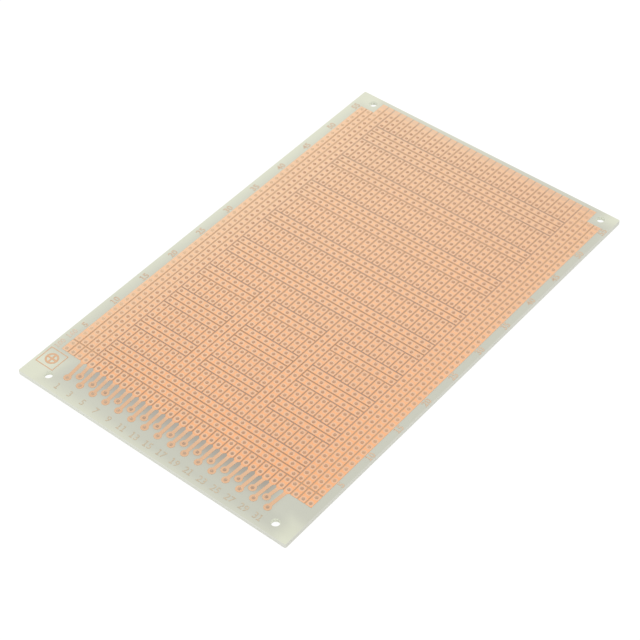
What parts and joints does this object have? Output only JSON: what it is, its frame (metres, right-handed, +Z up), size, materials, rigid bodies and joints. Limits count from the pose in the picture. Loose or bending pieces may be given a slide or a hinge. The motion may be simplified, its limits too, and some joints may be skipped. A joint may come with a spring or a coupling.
{
  "type": "bare prototyping circuit board",
  "caption": "Flat glass-epoxy prototyping board with a drilled hole grid, etched copper strips and bus lines on one face, and ringed contact holes along one short edge.",
  "frame": {"origin": "on the underside, below the middle of the board", "axes": "+X across the contact edge from contact 1 to contact 31, +Y from the contact edge to the far edge, +Z up out of the copper face"},
  "size_m": [0.1, 0.16, 0.0015],
  "materials": {
    "laminate": "translucent glass-epoxy, satin",
    "copper": "bright etched copper foil under a thin clear coat"
  },
  "bodies": {
    "root": {"laminate": "laminate", "left_rails": "copper", "right_rails": "copper", "centre_rails": "copper", "far_end_strips": "copper", "bus_strips_1": "copper", "bus_strips_2": "copper", "bus_strips_3": "copper", "bus_strips_4": "copper", "bus_strips_5": "copper", "quad_strips_1": "copper", "quad_strips_2": "copper", "quad_strips_3": "copper", "quad_strips_4": "copper", "triple_strips_1": "copper", "triple_strips_2": "copper", "triple_strips_3": "copper", "triple_strips_4": "copper", "short_bus_strips_1": "copper", "short_bus_strips_2": "copper", "short_bus_strips_3": "copper", "near_bus_strips": "copper", "plain_end_strips": "copper", "odd_contact_tracks": "copper", "even_contact_tracks": "copper", "corner_mark": "copper"}
  },
  "joints": []
}
